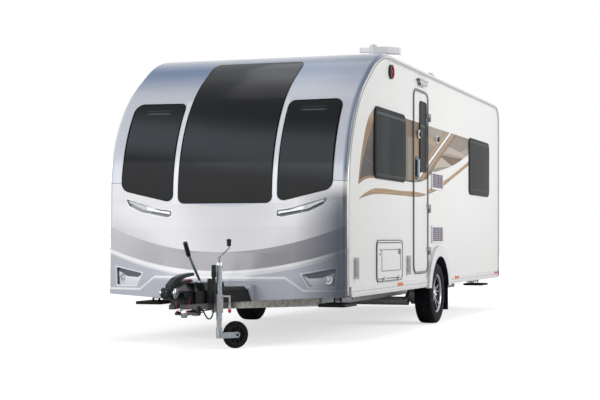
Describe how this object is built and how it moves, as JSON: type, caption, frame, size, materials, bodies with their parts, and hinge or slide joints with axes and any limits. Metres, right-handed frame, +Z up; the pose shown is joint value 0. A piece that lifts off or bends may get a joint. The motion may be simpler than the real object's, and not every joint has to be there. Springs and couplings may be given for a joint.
{
  "type": "touring caravan",
  "caption": "Touring caravan with a hollow cabin on a braked axle and A-frame drawbar, with opening door and locker, jockey wheel, corner steadies and dark tinted windows.",
  "frame": {"origin": "on the ground, on the centreline, half way between the coupling's nose and the rear bumper", "axes": "+Z up; +Y to the rear, so the drawbar points along -Y; +X towards the entrance door's side"},
  "size_m": [2.282, 7.835, 2.759],
  "materials": {
    "white_panel": "satin white sandwich panel skin",
    "moulding": "glossy silver-grey moulded plastic",
    "acrylic": "dark tinted acrylic",
    "rail": "painted extrusion",
    "white_plastic": "white moulded plastic",
    "black_plastic": "black moulded plastic",
    "plywood": "coated plywood sandwich",
    "galvanised": "galvanised steel",
    "cast": "dark cast and painted metal",
    "tyre": "rubber",
    "alloy": "machined and painted alloy",
    "amber": "amber lens",
    "red_lens": "red lens",
    "clear_lens": "clear lens over a bright reflector",
    "rubber": "solid black rubber",
    "cable_black": "black cable jacket",
    "cable_red": "red plastic covered wire rope",
    "bottle": "painted steel"
  },
  "bodies": {
    "caravan": {"front_panel": "moulding", "roof": "moulding", "rear_panel": "moulding", "wall_near": "white_panel", "wall_off": "white_panel", "floor": "plywood", "windows_front": "acrylic", "windows_cabin": "acrylic", "edge_rails": "rail", "skirts": "white_plastic", "side_markers": "amber", "arch_trims": "white_plastic", "wheel_boxes": "black_plastic", "fridge_vents": "white_plastic", "grab_handles": "white_plastic", "flue_outlet": "black_plastic", "clear_lamps": "clear_lens", "rear_bumper": "moulding", "rear_lamps": "red_lens", "rooflights": "acrylic", "roof_fittings": "white_plastic", "gas_bottles": "bottle", "chassis_frame": "galvanised", "drawbar_legs": "galvanised", "axle": "galvanised", "hitch_housing": "cast", "coupling_head": "cast", "coupling_lever": "black_plastic", "drawbar_cover": "black_plastic", "handbrake_lever": "galvanised", "jack_tube": "galvanised", "jack_clamp": "galvanised", "lead_fittings": "black_plastic", "lead_plug": "black_plastic", "socket_lead": "cable_black", "breakaway_cable": "cable_red", "hinge_halves": "rail", "locker_frame": "white_plastic", "steady_brackets": "galvanised"},
    "door": {"door_panel": "white_panel", "door_window": "acrylic", "door_fittings": "black_plastic"},
    "locker": {"locker_lid": "white_panel"},
    "wheel_near": {"tyre_near": "tyre", "rim_near": "alloy"},
    "wheel_off": {"tyre_off": "tyre", "rim_off": "alloy"},
    "jack_screw": {"jack_inner": "galvanised"},
    "jockey_fork": {"jack_fork": "galvanised"},
    "jockey_roller": {"jockey_wheel": "rubber"},
    "steady_front_near": {"steady_front_near": "galvanised"},
    "foot_front_near": {"foot_front_near": "black_plastic"},
    "steady_front_off": {"steady_front_off": "galvanised"},
    "foot_front_off": {"foot_front_off": "black_plastic"},
    "steady_rear_near": {"steady_rear_near": "galvanised"},
    "foot_rear_near": {"foot_rear_near": "black_plastic"},
    "steady_rear_off": {"steady_rear_off": "galvanised"},
    "foot_rear_off": {"foot_rear_off": "black_plastic"}
  },
  "joints": [
    {"name": "door_swing", "type": "hinge", "parent": "caravan", "child": "door", "pos_m": [1.121, 0.1155, 1.2], "axis": [0, 0, 1], "range_deg": [0, 170]},
    {"name": "locker_drop", "type": "hinge", "parent": "caravan", "child": "locker", "pos_m": [1.113, -1.3575, 0.531], "axis": [0, 1, 0], "range_deg": [0, 90]},
    {"name": "wheel_near_spin", "type": "hinge", "parent": "caravan", "child": "wheel_near", "pos_m": [1.013, 0.5325, 0.32], "axis": [1, 0, 0], "continuous": true},
    {"name": "wheel_off_spin", "type": "hinge", "parent": "caravan", "child": "wheel_off", "pos_m": [-1.013, 0.5325, 0.32], "axis": [1, 0, 0], "continuous": true},
    {"name": "jack_wind", "type": "slide", "parent": "caravan", "child": "jack_screw", "axis": [0, 0, 1], "range_m": [0, 0.05]},
    {"name": "jockey_swivel", "type": "hinge", "parent": "jack_screw", "child": "jockey_fork", "pos_m": [0.21202, -3.3325, 0.13], "axis": [0, 0, 1], "continuous": true},
    {"name": "jockey_roll", "type": "hinge", "parent": "jockey_fork", "child": "jockey_roller", "pos_m": [0.30844, -3.21759, 0.112], "axis": [-0.766, 0.6428, 0], "continuous": true},
    {"name": "steady_front_near_swing", "type": "hinge", "parent": "caravan", "child": "steady_front_near", "pos_m": [0.87, -1.8525, 0.365], "axis": [1, 0, 0], "range_deg": [0, 53]},
    {"name": "foot_front_near_level", "type": "hinge", "parent": "steady_front_near", "child": "foot_front_near", "pos_m": [0.87, -2.2225, 0.365], "axis": [1, 0, 0], "range_deg": [-53, 0]},
    {"name": "steady_front_off_swing", "type": "hinge", "parent": "caravan", "child": "steady_front_off", "pos_m": [-0.87, -1.8525, 0.365], "axis": [1, 0, 0], "range_deg": [0, 53]},
    {"name": "foot_front_off_level", "type": "hinge", "parent": "steady_front_off", "child": "foot_front_off", "pos_m": [-0.87, -2.2225, 0.365], "axis": [1, 0, 0], "range_deg": [-53, 0]},
    {"name": "steady_rear_near_swing", "type": "hinge", "parent": "caravan", "child": "steady_rear_near", "pos_m": [0.87, 3.1675, 0.365], "axis": [-1, 0, 0], "range_deg": [0, 53]},
    {"name": "foot_rear_near_level", "type": "hinge", "parent": "steady_rear_near", "child": "foot_rear_near", "pos_m": [0.87, 3.5375, 0.365], "axis": [-1, 0, 0], "range_deg": [-53, 0]},
    {"name": "steady_rear_off_swing", "type": "hinge", "parent": "caravan", "child": "steady_rear_off", "pos_m": [-0.87, 3.1675, 0.365], "axis": [-1, 0, 0], "range_deg": [0, 53]},
    {"name": "foot_rear_off_level", "type": "hinge", "parent": "steady_rear_off", "child": "foot_rear_off", "pos_m": [-0.87, 3.5375, 0.365], "axis": [-1, 0, 0], "range_deg": [-53, 0]}
  ],
  "couplings": [
    {"joint": "foot_front_near_level", "follows": "steady_front_near_swing", "ratio": -1},
    {"joint": "foot_front_off_level", "follows": "steady_front_off_swing", "ratio": -1},
    {"joint": "foot_rear_near_level", "follows": "steady_rear_near_swing", "ratio": -1},
    {"joint": "foot_rear_off_level", "follows": "steady_rear_off_swing", "ratio": -1}
  ]
}
